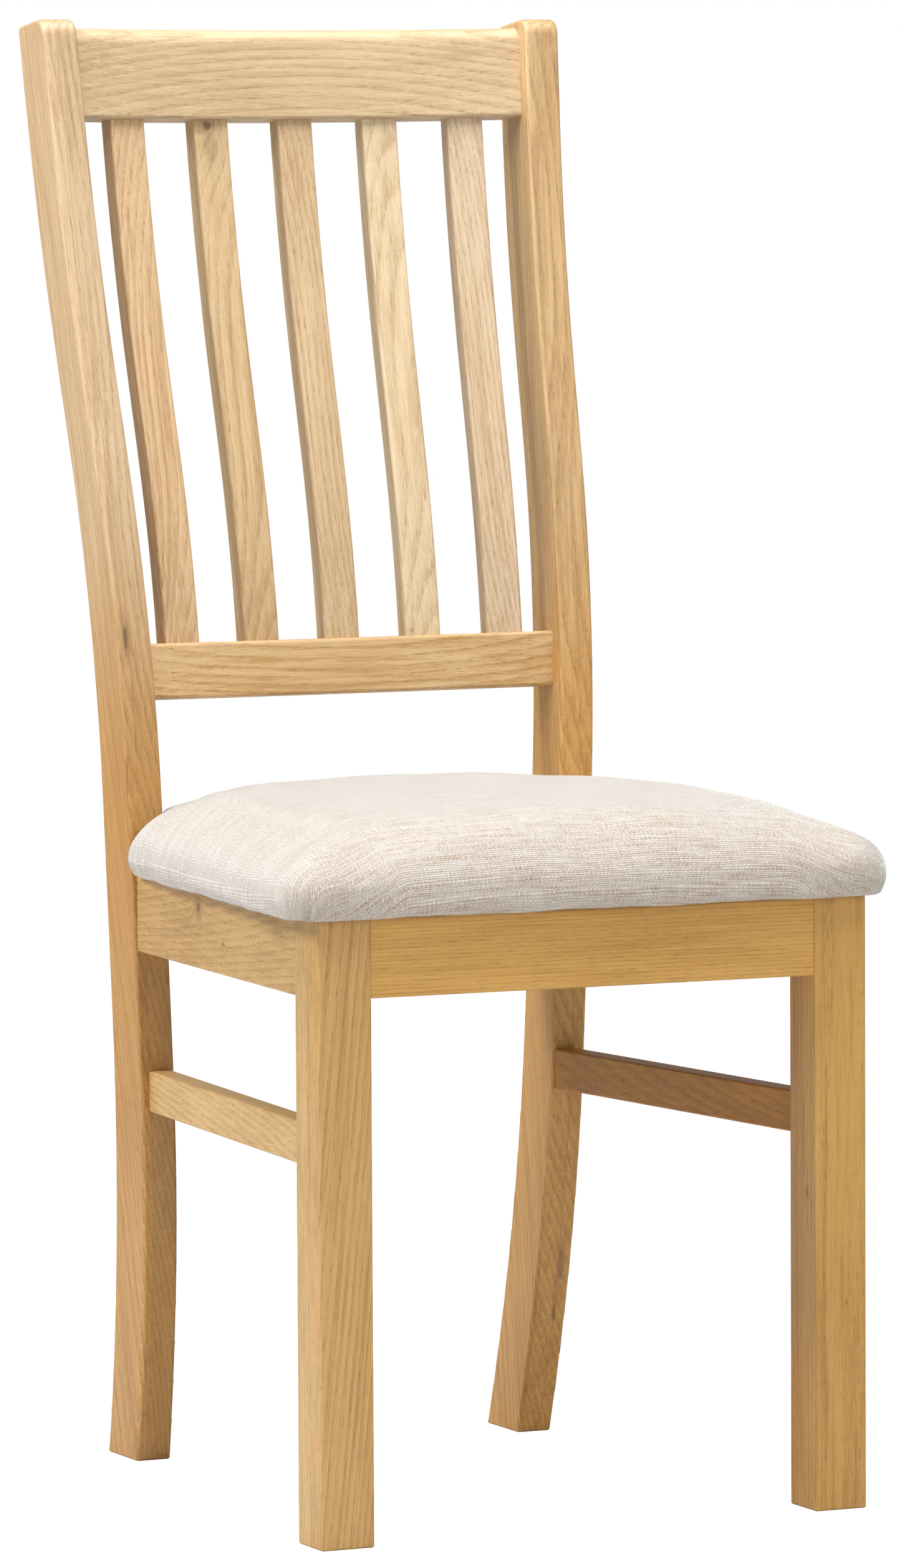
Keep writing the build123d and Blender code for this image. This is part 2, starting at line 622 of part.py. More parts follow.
def staples(inset, crown_bottom):
    """Staples round the pad's underside, their crowns against the fabric and their legs up in the board."""
    border = pad_outline(inset).sketch.faces()[0].outer_wire()
    count = round(border.length / STAPLE_SPACING)
    with BuildPart() as group:
        for number in range(count):
            spot = (number + 0.5) / count
            middle = border.position_at(spot)
            run = border.tangent_at(spot)
            site = Plane(origin=(middle.X, middle.Y, crown_bottom), x_dir=(run.X, run.Y, 0), z_dir=(0, 0, 1))
            with Locations(site):
                Box(STAPLE_WIDTH, STAPLE_WIRE, STAPLE_CROWN, align=STANDING)
                with GridLocations(STAPLE_WIDTH - STAPLE_WIRE, 0, 2, 1):
                    Box(STAPLE_WIRE, STAPLE_WIRE, STAPLE_LENGTH, align=STANDING)
    return group


COVER_TOP = PAD_BOTTOM + COVER  # upper side of the fabric turned under the board
BOARD_INSET = COVER + WADDING
cover_staples = staples(COVER_STAPLE_INSET, PAD_BOTTOM - STAPLE_CROWN)
dust_cloth_staples = staples(DUST_STAPLE_INSET, PAD_BOTTOM - DUST_CLOTH - STAPLE_CROWN)
through_pad = (cover_staples, dust_cloth_staples, seat_fixing_screws)

with BuildPart() as seat_board:
    add(pad_layer(BOARD_INSET, COVER_TOP, BOARD).part)
    for fastener in through_pad:
        add(fastener.part, mode=Mode.SUBTRACT)

with BuildPart() as seat_foam:
    add(pad_block(BOARD_INSET, COVER_TOP + BOARD, 0).part)

with BuildPart() as seat_wadding:
    add(pad_block(COVER, COVER_TOP, PAD_UNDER_RIM - COVER).part)
    add(pad_layer(BOARD_INSET, COVER_TOP, BOARD).part, mode=Mode.SUBTRACT)
    add(seat_foam.part, mode=Mode.SUBTRACT)

with BuildPart() as seat_cover:
    add(pad_block(0, PAD_BOTTOM, PAD_UNDER_RIM).part)
    add(pad_block(COVER, COVER_TOP, PAD_UNDER_RIM - COVER).part, mode=Mode.SUBTRACT)
    add(pad_layer(COVER_BORDER, PAD_BOTTOM, COVER).part, mode=Mode.SUBTRACT)
    for fastener in through_pad:
        add(fastener.part, mode=Mode.SUBTRACT)

with BuildPart() as dust_cloth:
    add(pad_layer(DUST_CLOTH_INSET, PAD_BOTTOM - DUST_CLOTH, DUST_CLOTH).part)
    for fastener in (dust_cloth_staples, seat_fixing_screws):
        add(fastener.part, mode=Mode.SUBTRACT)


# ---- Pieces, by the names of their files ----

pieces = {
    "front_leg_left": front_leg_left,
    "front_leg_right": front_leg_right,
    "back_post_left": back_post_left,
    "back_post_right": back_post_right,
    "front_apron": front_apron,
    "rear_apron": rear_apron,
    "side_apron_left": side_apron_left,
    "side_apron_right": side_apron_right,
    "side_stretcher_left": side_stretcher_left,
    "side_stretcher_right": side_stretcher_right,
    "lower_back_rail": lower_back_rail,
    "top_rail": top_rail,
    **{f"back_slat_{place}": slat for place, slat in enumerate(slats, start=1)},
    **corner_blocks,
    **dowel_groups,
    "corner_block_screws": corner_block_screws,
    "seat_fixing_screws": seat_fixing_screws,
    "seat_board": seat_board,
    "seat_foam": seat_foam,
    "seat_wadding": seat_wadding,
    "seat_cover": seat_cover,
    "cover_staples": cover_staples,
    "dust_cloth": dust_cloth,
    "dust_cloth_staples": dust_cloth_staples,
}
for name, piece in pieces.items():
    piece.part.label = name
    export_step(piece.part, f"parts/{name}.step")
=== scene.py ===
import math

import bpy
import numpy as np
from mathutils import Matrix, Vector


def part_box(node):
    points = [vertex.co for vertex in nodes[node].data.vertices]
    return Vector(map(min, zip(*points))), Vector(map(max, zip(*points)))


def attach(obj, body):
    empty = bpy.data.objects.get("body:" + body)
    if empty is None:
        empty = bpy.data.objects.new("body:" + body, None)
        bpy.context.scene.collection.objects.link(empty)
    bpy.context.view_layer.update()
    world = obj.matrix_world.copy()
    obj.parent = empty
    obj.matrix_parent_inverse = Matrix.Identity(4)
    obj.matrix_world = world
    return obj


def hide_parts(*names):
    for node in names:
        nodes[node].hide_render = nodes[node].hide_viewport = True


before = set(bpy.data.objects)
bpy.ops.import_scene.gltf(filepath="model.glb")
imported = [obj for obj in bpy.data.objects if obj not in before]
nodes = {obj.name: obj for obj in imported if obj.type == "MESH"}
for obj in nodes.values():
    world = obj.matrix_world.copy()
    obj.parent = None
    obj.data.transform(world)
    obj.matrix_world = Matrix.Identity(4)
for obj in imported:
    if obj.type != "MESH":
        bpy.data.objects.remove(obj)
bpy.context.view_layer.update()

# Camera: the photograph's angle, from the front and the sitter's right, far away with a long lens
VIEW_AZIMUTH = -24.898  # degrees
VIEW_ELEVATION = 4.387
VIEW_ROLL = -0.302
VIEW_DISTANCE = 6.1198
VIEW_TARGET = Vector((-0.0196, -0.065, 0.5064))
LENS = 198.2
SENSOR_WIDTH = 36.0

# Light: its strength on the chair, and the floor's glow that the camera sees
AMBIENT = 0.33
BACKDROP = 1.0
FLOOR_GLOW = 1.17
FLOOR_GLOW_SHARE = 0.82
FLOOR_HALF = 14  # metres

# Seat pad, in metres; its depth and height come from its CAD node
FRONT_HALF = 0.236  # half the width along the front, at the widest line
EAR_HALF = 0.193  # half the width just in front of the back posts
EAR_Y = 0.126
TONGUE_HALF = 0.155  # half the width between the posts
FRONT_CORNER = 0.0315
EAR_CORNER = 0.016
TONGUE_CORNER = 0.012
NOTCH_CORNER = 0.003
SHARPEST_CORNER = 0.002  # least radius of a corner after the outline is moved in
CORNER_STEPS = 16
WIDEST = 0.0132  # height of the widest line above the underside
TUCK = 0.0075  # how far the side turns in below the widest line
SIDE_ROWS = 6
GRID = 84  # squares across the top of the pad
EDGE_CROWDING = 0.75  # how much the grid closes up towards the edges
CROWN_Y = -0.0504
FALL_REACH = 0.2  # distance from the crown at which the two falls below are measured
FALL_ACROSS, FALL_ALONG = 0.0100, 0.0095
FALL_SHAPE = 2.2
SHOULDER = 0.0425  # width of the rounding between the top and the sides
SHOULDER_SHAPE = 2.54
CORNER_SHAPE = 1.3
DIP = 0.0008  # how far the lower edge hangs below the frame's top, outside it

# Inflating the pad
SLACK = 0.0112  # how much lower the crown is before the cloth is inflated
PRESSURE = 4
CLOTH_FRAMES = 20
EDGE_CAP, CROWN_CAP = 0.0015, 0.005  # how far a point may move at the edge, and how much farther on top
SMOOTHING = 12  # passes that even out the inflated cloth

# Upholsterer's details
CORNER_FOLDS = (  # height, place round the corner, width
    (-0.0013, 0.017, 0.0015),
    (0.0009, 0.0135, 0.0026),
    (0.0006, 0.0215, 0.003),
)
EDGE_WAVE = 0.0011
EDGE_WAVES = ((0.5, 105, 0), (0.3, 61, 1.3), (0.3, 173, 0.6))  # share, radians a metre round the pad, start
HOLLOW = 0.0007

# Seat fabric
YARN = 0.00165  # spacing of the yarns
PILE = 0.0005  # how far a yarn stands above the gaps
YARN_SWAY = 0.0005

# Dust cloth
DUST_INSET = 0.034
DUST_SAG = 0.0025
DUST_RIPPLE = 0.00012
DUST_STEPS = 48


# ---- Materials ----


class Shader:
    """A node material, with short calls for the nodes that the finishes need."""

    def __init__(self, name):
        self.material = bpy.data.materials.new(name)
        self.material.use_nodes = True
        self.tree = self.material.node_tree
        self.tree.nodes.clear()
        self.output = self.tree.nodes.new("ShaderNodeOutputMaterial")
        self.surface = self.tree.nodes.new("ShaderNodeBsdfPrincipled")
        self.tree.links.new(self.surface.outputs[0], self.output.inputs["Surface"])

    def put(self, socket, value):
        if isinstance(value, bpy.types.NodeSocket):
            self.tree.links.new(value, socket)
        elif value is not None:
            socket.default_value = value

    def node(self, kind, inputs=(), output=0, **settings):
        made = self.tree.nodes.new("ShaderNode" + kind)
        for key, value in settings.items():
            setattr(made, key, value)
        for key, value in dict(inputs).items():
            self.put(made.inputs[key], value)
        return made.outputs[output]

    def math(self, operation, a, b=None, c=None):
        return self.node("Math", {0: a, 1: b, 2: c}, operation=operation)

    def product(self, a, b):
        return self.math("MULTIPLY", a, b)

    def blend(self, a, scale, add):
        """a * scale + add"""
        return self.math("MULTIPLY_ADD", a, scale, add)

    def vector_math(self, operation, a, b=None, output=0):
        return self.node("VectorMath", {0: a, 1: b}, output, operation=operation)

    def times(self, vector, scale):
        return self.vector_math("MULTIPLY", vector, scale)

    def dot(self, vector, other):
        return self.vector_math("DOT_PRODUCT", vector, other, 1)

    def length(self, vector):
        return self.vector_math("LENGTH", vector, output=1)

    def separate(self, vector):
        """The X, Y and Z of a vector."""
        return self.node("SeparateXYZ", {0: vector}).node.outputs

    def place(self):
        """Object coordinates, which are the chair's own on every CAD node and on the pad."""
        return self.node("TexCoord", output=3)

    def normal(self):
        return self.node("NewGeometry", output=1)

    def noise(self, vector, scale, detail=2.0, roughness=0.5):
        inputs = {"Vector": vector, "Scale": scale, "Detail": detail, "Roughness": roughness}
        return self.node("TexNoise", inputs)

    def spread(self, value, low, high, to_low=0.0, to_high=1.0):
        inputs = {0: value, 1: low, 2: high, 3: to_low, 4: to_high}
        return self.node("MapRange", inputs, interpolation_type="SMOOTHSTEP")

    def ramp(self, value, stops):
        made = self.tree.nodes.new("ShaderNodeValToRGB")
        elements = made.color_ramp.elements
        while len(elements) < len(stops):
            elements.new(0.5)
        for element, (place, level) in zip(elements, stops):
            element.position = place
            element.color = (level, level, level, 1)
        self.put(made.inputs[0], value)
        return made.outputs[0]

    def mix(self, factor, a, b, blend="MIX"):
        made = self.tree.nodes.new("ShaderNodeMix")
        made.data_type = "RGBA"
        made.blend_type = blend
        self.put(made.inputs[0], factor)
        for socket, value in ((made.inputs[6], a), (made.inputs[7], b)):
            self.put(socket, (*value, 1) if isinstance(value, tuple) and len(value) == 3 else value)
        return made.outputs[2]

    def finish(self, colour, roughness, height=None, depth=0.0, strength=1.0, **constants):
        """Sets the surface; the constants are named as its sockets, with _ for a space."""
        if isinstance(colour, tuple):
            colour = (*colour, 1)
        self.put(self.surface.inputs["Base Color"], colour)
        self.put(self.surface.inputs["Roughness"], roughness)
        if height is not None:
            bump = self.node("Bump", {"Height": height, "Distance": depth, "Strength": strength})
            self.put(self.surface.inputs["Normal"], bump)
        for key, value in constants.items():
            self.surface.inputs[key.replace("_", " ")].default_value = value
        return self.material


def darker(colour, share):
    return tuple(share * v for v in colour)


GLUE_LINE = 0.0006
STAVE_SHIFT = (0.023, -0.031, 0.4)  # how far apart two glued staves were in the log
WARM_FROM, WARM_BY = 0.72, 0.48  # heights between which the back posts turn darker and warmer downwards: painted shade
KNOT_CORE, KNOT_RIM = (0.08, 0.034, 0.015), (0.25, 0.125, 0.055)


def grain_coordinates(shader, along, pith):
    """Coordinates with the grain along Z and the tree's pith on the Z axis."""
    turn = Vector(along).normalized().rotation_difference(Vector((0, 0, 1))).to_matrix()
    inputs = {"Vector": shader.place(), "Rotation": turn.to_euler(), "Location": -(turn @ Vector(pith))}
    return shader.node("Mapping", inputs, vector_type="POINT")


def knot_reach(s, place, along, spot, half_across, half_along):
    """Distance from a knot's middle, where 1 is its ragged edge."""
    shrink = [1 / half_across] * 3
    run = max(range(3), key=lambda k: abs(along[k]))
    shrink[run] = 1 / half_along
    offset = s.times(s.vector_math("SUBTRACT", place, spot), tuple(shrink))
    return s.math("ADD", s.length(offset), s.blend(s.noise(place, 420.0, 2.0), 0.81, -0.45))


def oak(name, along, pith, seed, light, dark, period, wander, contrast, seam=None, foot_shade=None, knots=()):
    """Lacquered oak sawn from a log: yearly rings round the pith, open pores, and ray fleck.

    A seam is the glue line of two staves: its normal, how far out it lies, and the tone of the stave
    beyond it. A foot colour tints the lower part of a post darker and warmer, as painted shade. A knot is
    its place, how far it pushes the rings aside, its half-sizes across and along the grain, and its
    darkness."""
    s = Shader(name)
    place = s.place()
    grain = grain_coordinates(s, along, pith)
    if seam:
        out = s.dot(place, seam[0])
        stave = s.math("GREATER_THAN", out, seam[1])
        glue = s.spread(s.math("ABSOLUTE", s.math("SUBTRACT", out, seam[1])), GLUE_LINE, 0.0)
        grain = s.vector_math("ADD", grain, s.times(stave, STAVE_SHIFT))
    seeded = s.vector_math("ADD", grain, (seed * 1.37, seed * 0.71, seed * 2.13))

    def drawn_out(stretch, scale, detail, roughness=0.5):
        """Noise that is longer along the grain than across it."""
        return s.noise(s.times(seeded, (1.0, 1.0, stretch)), scale, detail, roughness)

    across = s.length(s.times(grain, (1.0, 1.0, 0.0)))
    across = s.blend(drawn_out(0.25, 7.0, 1.0), 2 * wander, across)
    across = s.blend(drawn_out(0.12, 60.0, 2.0), 0.0016, across)
    stains = []
    for spot, push, half_across, half_along, darkness in knots:
        reach = knot_reach(s, place, along, spot, half_across, half_along)
        near = s.math("EXPONENT", s.product(s.product(reach, reach), -0.16))
        across = s.blend(near, push, across)
        stains.append((s.spread(reach, 3.4, 0.6), s.spread(reach, 1.2, 0.6), darkness))

    phase = s.math("FRACT", s.math("DIVIDE", across, period))
    early = s.ramp(phase, [(0.0, 0.1), (0.12, 1.0), (0.34, 0.6), (0.7, 0.15), (1.0, 0.0)])
    fibre = drawn_out(0.03, 1500.0, 3.0, 0.65)
    strand = drawn_out(0.022, 560.0, 2.0, 0.6)
    streak = drawn_out(0.05, 150.0, 2.0)
    patch = drawn_out(0.3, 13.0, 2.0)
    pore = s.product(s.spread(drawn_out(0.05, 1900.0, 2.0, 0.55), 0.53, 0.66), s.blend(early, 0.8, 0.2))
    ray = s.product(s.spread(drawn_out(0.2, 420.0, 1.0), 0.58, 0.72), s.spread(patch, 0.45, 0.7))

    shade = s.blend(early, 0.3 * contrast, 0.1 - 0.1 * contrast)
    for value, weight in ((fibre, 0.7), (strand, 1.0), (streak, 0.8), (patch, 0.9)):
        shade = s.blend(s.math("SUBTRACT", value, 0.5), weight * contrast, shade)
    colour = s.mix(s.spread(shade, -0.4, 0.8), light, dark)
    colour = s.mix(s.product(pore, 0.62), colour, darker(dark, 0.42))
    colour = s.mix(s.product(ray, 0.25), colour, tuple(min(1.0, 1.25 * v) for v in light))
    # Painted shade: the lower part of a back post is tinted darker and warmer
    if foot_shade:
        below = s.spread(s.separate(place)[2], WARM_FROM, WARM_BY)
        colour = s.mix(below, colour, foot_shade, "MULTIPLY")
    for halo, core, darkness in stains:
        colour = s.mix(s.product(halo, 0.5 * darkness), colour, darker(dark, 0.5))
        heart = s.mix(s.noise(place, 300.0, 2.0), KNOT_CORE, KNOT_RIM)
        colour = s.mix(s.product(core, darkness), colour, heart)
    if seam:
        colour = s.mix(stave, colour, seam[2], "MULTIPLY")
        colour = s.mix(s.product(glue, 0.35), colour, darker(dark, 0.5))
    facing = s.dot(s.normal(), tuple(Vector(along).normalized()))
    end_grain = s.spread(s.math("ABSOLUTE", facing), 0.75, 0.95)
    colour = s.mix(s.product(end_grain, 0.35), colour, darker(dark, 0.6))
    rough = s.blend(pore, 0.2, s.blend(fibre, 0.12, 0.36))
    height = s.math("SUBTRACT", s.product(fibre, 0.25), pore)
    return s.finish(colour, rough, height, 0.00012, 0.5, Coat_Weight=0.12, Coat_Roughness=0.3)


def block_wood():
    """Plain pale softwood of the hidden blocks and dowels, sawn and unlacquered."""
    s = Shader("block_wood")
    place = s.place()
    rings = s.math("FRACT", s.blend(s.noise(place, 12.0, 2.0), 6.0, s.product(s.separate(place)[2], 190.0)))
    fibre = s.noise(s.times(place, (1.0, 1.0, 9.0)), 220.0, 3.0, 0.6)
    shade = s.blend(s.math("SUBTRACT", fibre, 0.5), 0.9, s.product(rings, 0.5))
    colour = s.mix(s.spread(shade, -0.2, 0.9), (0.66, 0.49, 0.30), (0.47, 0.30, 0.155))
    return s.finish(colour, s.blend(fibre, 0.2, 0.55), fibre, 0.0002, 0.6)


def plywood():
    """Seat board: face veneer, with thin plies showing at its edges."""
    s = Shader("plywood")
    place = s.place()
    plies = s.math("FRACT", s.product(s.separate(place)[2], 480.0))
    fibre = s.noise(s.times(place, (1.0, 0.05, 1.0)), 420.0, 3.0, 0.6)
    colour = s.mix(s.spread(fibre, 0.25, 0.75), (0.60, 0.44, 0.27), (0.42, 0.27, 0.14))
    facing = s.math("ABSOLUTE", s.separate(s.normal())[2])
    edge = s.product(s.spread(facing, 0.6, 0.2), s.spread(plies, 0.45, 0.55))
    colour = s.mix(s.product(edge, 0.6), colour, (0.26, 0.15, 0.07))
    return s.finish(colour, 0.7, fibre, 0.0002, 0.5)


def steel(name, colour, roughness):
    """Plated steel with fine scratches and faint clouding."""
    s = Shader(name)
    place = s.place()
    cloud = s.noise(place, 900.0, 3.0, 0.6)
    scratch = s.noise(s.times(place, (1.0, 14.0, 1.0)), 1500.0, 2.0)
    rough = s.blend(cloud, 0.22, s.blend(scratch, 0.1, roughness - 0.16))
    tint = s.mix(s.spread(cloud, 0.3, 0.7), colour, darker(colour, 0.72))
    return s.finish(tint, rough, scratch, 0.00005, 0.4, Metallic=1.0)


def soft_fill(name, colour, scale):
    """Foam or wadding: open, matt and slightly speckled."""
    s = Shader(name)
    cells = s.noise(s.place(), scale, 3.0, 0.7)
    tint = s.mix(s.spread(cells, 0.3, 0.7), colour, darker(colour, 0.8))
    return s.finish(tint, 0.95, cells, 0.0006, 0.8)


def seat_fabric():
    """Heathered oatmeal cloth in plain weave: two-tone yarns of uneven thickness, with slubs."""
    s = Shader("seat_fabric")
    weave = s.node("Attribute", output=1, attribute_name="weave")
    sway = s.node("TexNoise", {"Vector": weave, "Scale": 130.0, "Detail": 2.0}, 1)
    sway = s.times(s.vector_math("SUBTRACT", sway, (0.5, 0.5, 0.5)), (YARN_SWAY, YARN_SWAY, 0.0))
    weave = s.vector_math("ADD", weave, sway)
    count = s.times(weave, (1 / YARN, 1 / YARN, 0.0))
    cell = s.vector_math("FLOOR", count)
    inside = s.separate(s.vector_math("SUBTRACT", s.vector_math("FRACTION", count), (0.5, 0.5, 0.0)))
    across_warp, across_weft = (s.math("COSINE", s.product(inside[k], math.pi)) for k in (0, 1))
    column, row, _ = s.separate(cell)
    weft_on_top = s.math("FLOORED_MODULO", s.math("ADD", column, row), 2.0)

    def yarn_height(over, beside):
        return s.product(s.math("POWER", over, 0.6), s.blend(beside, 0.45, 0.55))

    warp_height = yarn_height(across_warp, across_weft)
    weft_height = yarn_height(across_weft, across_warp)
    height = s.blend(s.math("SUBTRACT", weft_height, warp_height), weft_on_top, warp_height)

    warp_tone = s.noise(s.times(weave, (620.0, 90.0, 0.0)), 1.0, 2.0, 0.6)
    weft_tone = s.noise(s.times(weave, (42.0, 640.0, 0.0)), 1.0, 2.0, 0.6)
    heather = s.noise(s.times(weave, (11.0, 320.0, 0.0)), 1.0, 2.0)
    fibre = s.noise(weave, 2600.0, 2.0, 0.6)
    stitch = s.node("TexWhiteNoise", {"Vector": cell})
    warp = s.mix(s.spread(warp_tone, 0.3, 0.72), (0.635, 0.56, 0.49), (0.485, 0.365, 0.27))
    weft = s.mix(s.spread(weft_tone, 0.3, 0.7), (0.70, 0.65, 0.59), (0.39, 0.275, 0.195))
    colour = s.mix(weft_on_top, warp, weft)
    colour = s.mix(s.spread(heather, 0.35, 0.75, 0.0, 0.3), colour, (0.80, 0.78, 0.745))
    colour = s.mix(s.product(s.math("POWER", stitch, 2.0), 0.22), colour, (0.87, 0.865, 0.85))
    # Darker where the yarns sink between each other: painted shade in the weave's gaps, with the fibre's
    # own tone
    shade = s.blend(height, 0.5, s.blend(fibre, 0.2, 0.42))
    colour = s.mix(1.0, colour, s.node("CombineColor", {0: shade, 1: shade, 2: shade}), "MULTIPLY")
    bump = s.blend(fibre, 0.3, height)
    sheen = {"Sheen_Weight": 1.0, "Sheen_Roughness": 0.3, "Sheen_Tint": (0.95, 0.99, 1.0, 1.0)}
    return s.finish(colour, 0.88, bump, PILE, 0.7, Specular_IOR_Level=0.25, **sheen)


def dust_fabric():
    """Black spun-bonded cloth with its pressed dots."""
    s = Shader("dust_cloth")
    place = s.place()
    dots = s.node("TexVoronoi", {"Vector": s.times(place, (1, 1, 0)), "Scale": 900.0})
    fibres = s.noise(place, 2400.0, 3.0, 0.7)
    press = s.spread(dots, 0.15, 0.4)
    tone = s.blend(fibres, 0.6, s.product(press, 0.3))
    colour = s.mix(tone, (0.012, 0.012, 0.013), (0.045, 0.044, 0.045))
    return s.finish(colour, 0.8, s.blend(fibres, 0.4, press), 0.0002, 0.7)


# ---- Finishes of the CAD nodes ----


def dress(node, material):
    """Gives a CAD node one material on all its faces."""
    mesh = nodes[node].data
    mesh.materials.clear()
    mesh.materials.append(material)
    for polygon in mesh.polygons:
        polygon.material_index = 0


def middle(node):
    low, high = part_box(node)
    return (low + high) / 2


UP, ACROSS, BACKWARDS = (0, 0, 1), (1, 0, 0), (0, 1, 0)
RAKED = (0, 0.27, 1)
PALE, DEEP = (0.65, 0.468, 0.272), (0.468, 0.291, 0.138)
GOLD, BROWN = (0.63, 0.368, 0.095), (0.44, 0.224, 0.048)
WARM, TAN = (0.63, 0.402, 0.153), (0.449, 0.253, 0.081)

# Each oak piece: grain direction, where the pith lies from its middle, seed, light and dark colour,
# ring spacing, wander and contrast
timber = {
    "back_post_right": ((-0.036, 0.2, 1), (-0.10, 0.07, 0), 1, PALE, DEEP, 0.0036, 0.003, 1.3),
    "back_post_left": ((0.036, 0.2, 1), (-0.07, 0.12, 0), 2, WARM, TAN, 0.0038, 0.003, 1.4),
    "front_leg_right": ((0.10, 0, 1), (-0.07, 0.09, 0), 3, WARM, TAN, 0.0031, 0.002, 1.6),
    "front_leg_left": (UP, (0.012, 0.07, 0), 4, GOLD, BROWN, 0.0046, 0.003, 1.6),
    "front_apron": (ACROSS, (0, 0.05, -0.16), 5, GOLD, BROWN, 0.0026, 0.002, 0.9),
    "rear_apron": (ACROSS, (0, 0.05, -0.09), 6, WARM, TAN, 0.0035, 0.003, 1.1),
    "side_apron_left": (BACKWARDS, (-0.05, 0, -0.04), 7, WARM, TAN, 0.0036, 0.003, 1.3),
    "side_apron_right": (BACKWARDS, (0.09, 0, 0.07), 8, WARM, TAN, 0.0034, 0.003, 1.4),
    "side_stretcher_left": (BACKWARDS, (0.06, 0, 0.03), 9, GOLD, BROWN, 0.0034, 0.003, 1.2),
    "side_stretcher_right": (BACKWARDS, (0.06, 0, -0.05), 10, WARM, TAN, 0.0033, 0.003, 1.2),
    "lower_back_rail": (ACROSS, (0, 0.05, 0.04), 11, PALE, TAN, 0.0042, 0.004, 1.3),
    "top_rail": (ACROSS, (0, 0.12, -0.10), 12, PALE, DEEP, 0.0034, 0.004, 1.05),
    "back_slat_1": (RAKED, (0.03, 0.06, 0), 13, PALE, DEEP, 0.0030, 0.002, 1.6),
    "back_slat_2": (RAKED, (0.02, 0.05, 0), 14, PALE, DEEP, 0.0036, 0.002, 1.3),
    "back_slat_3": (RAKED, (-0.05, 0.06, 0), 15, PALE, DEEP, 0.0030, 0.002, 1.2),
    "back_slat_4": (RAKED, (0.022, 0.07, 0), 16, PALE, DEEP, 0.0034, 0.003, 1.2),
    "back_slat_5": (RAKED, (-0.06, 0.09, 0), 17, PALE, DEEP, 0.0028, 0.002, 1.3),
}
seams = {
    "back_post_right": ((1, 0, 0.036), -0.1602, (0.93, 0.94, 0.96)),
    # The stave beyond the seam is lifted back to its own tone; the inner stave stays darker as painted
    # shade
    "back_post_left": ((1, 0, -0.036), 0.1572, (1.02, 1.0, 0.97)),
    "front_leg_right": (BACKWARDS, -0.2406, (1.05, 1.16, 1.34)),
    "front_leg_left": (BACKWARDS, -0.2404, (0.95, 0.86, 0.74)),
}
# Colours that tint the lower back posts darker and warmer: painted shade
foot_shades = {"back_post_right": (0.88, 0.66, 0.32), "back_post_left": (1.17, 0.96, 0.56)}
# Each oak piece's light and dark colour is multiplied by its tone; where marked, a tone also holds painted
# shade
tones = {
    "top_rail": (0.92, 0.965, 1.0),
    "back_post_right": (0.94, 0.94, 0.95),
    # Partly the post's tone, partly painted shade: it darkens the inner stave, and the seam's tone lifts
    # the outer one back
    "back_post_left": (0.91, 0.97, 1.28),
    "back_slat_1": (0.975, 0.95, 0.93),
    "back_slat_2": (0.93, 0.93, 0.88),
    "back_slat_3": (0.94, 0.965, 0.975),
    "back_slat_4": (1.07, 1.18, 1.31),
    "back_slat_5": (0.98, 1.06, 1.24),
    "lower_back_rail": (1.0, 0.965, 0.85),
    "side_apron_right": (0.91, 0.90, 0.88),
    "front_apron": (1.03, 1.0, 0.965),
    "front_leg_right": (0.91, 0.86, 0.77),
    # Partly the leg's tone, partly painted shade from its inner face under the seat
    "front_leg_left": (0.90, 0.87, 0.86),
    "side_stretcher_right": (1.0, 1.03, 1.06),
    # The stretcher's tone, and painted shade under the seat on its inner face: darker and browner
    "side_stretcher_left": (0.76, 0.57, 0.15),
}
knots = {
    "side_apron_right": [
        ((-0.191, -0.0099, 0.4215), 0.006, 0.0034, 0.0046, 0.8),
        ((-0.1954, -0.0639, 0.4006), 0.002, 0.0013, 0.0016, 0.6),
        ((-0.2048, -0.1797, 0.4177), 0.001, 0.0022, 0.016, 0.3),
    ],
    "back_slat_2": [
        ((-0.0715, 0.2421, 0.9724), 0.005, 0.0032, 0.0032, 0.8),
        ((-0.0695, 0.2396, 0.9560), 0.003, 0.0060, 0.0110, 0.25),
    ],
    "back_post_right": [
        ((-0.1835, 0.1373, 0.6060), 0.001, 0.0016, 0.016, 0.8),
        ((-0.1862, 0.1296, 0.5031), 0.0005, 0.0006, 0.017, 0.5),
    ],
    "back_post_left": [
        ((0.1639, 0.1407, 0.1273), 0.002, 0.0024, 0.017, 0.5),
        ((0.1608, 0.1465, 0.0918), 0.001, 0.0011, 0.012, 0.6),
    ],
    "front_leg_left": [
        ((0.1700, -0.2474, 0.2240), 0.001, 0.0013, 0.0045, 0.6),
        ((0.1943, -0.2600, 0.1469), 0.0004, 0.0005, 0.0010, 0.7),
    ],
}
for name, (along, pith, seed, light, dark, period, wander, contrast) in timber.items():
    place = tuple(middle(name) + Vector(pith))
    tone = tones.get(name, (1, 1, 1))
    light, dark = (tuple(np.multiply(colour, tone).tolist()) for colour in (light, dark))
    material = oak("oak_" + name, along, place, seed, light, dark, period, wander, contrast,
                   seams.get(name), foot_shades.get(name), knots.get(name, ()))
    dress(name, material)

